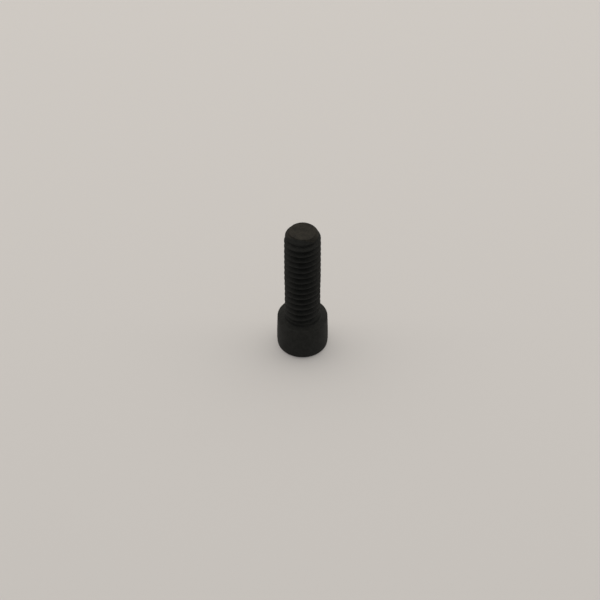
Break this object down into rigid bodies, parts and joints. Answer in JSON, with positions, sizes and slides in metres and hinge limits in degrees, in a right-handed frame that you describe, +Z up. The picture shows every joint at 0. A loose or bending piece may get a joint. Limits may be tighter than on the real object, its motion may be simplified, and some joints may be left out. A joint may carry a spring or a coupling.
{
  "type": "socket head cap screw",
  "caption": "Short cap screw with a tall cylindrical head, hexagon socket, coarse right-hand thread to the head and a chamfered point, for clamping parts down.",
  "frame": {"origin": "centre of the bearing face, on the screw's axis", "axes": "+Z up the shank to the point; the head is below the origin and its socket opens to -Z"},
  "size_m": [0.009, 0.009, 0.0265],
  "materials": {
    "black_oxide": "matte"
  },
  "bodies": {
    "root": {"cap_screw": "black_oxide"}
  },
  "joints": []
}
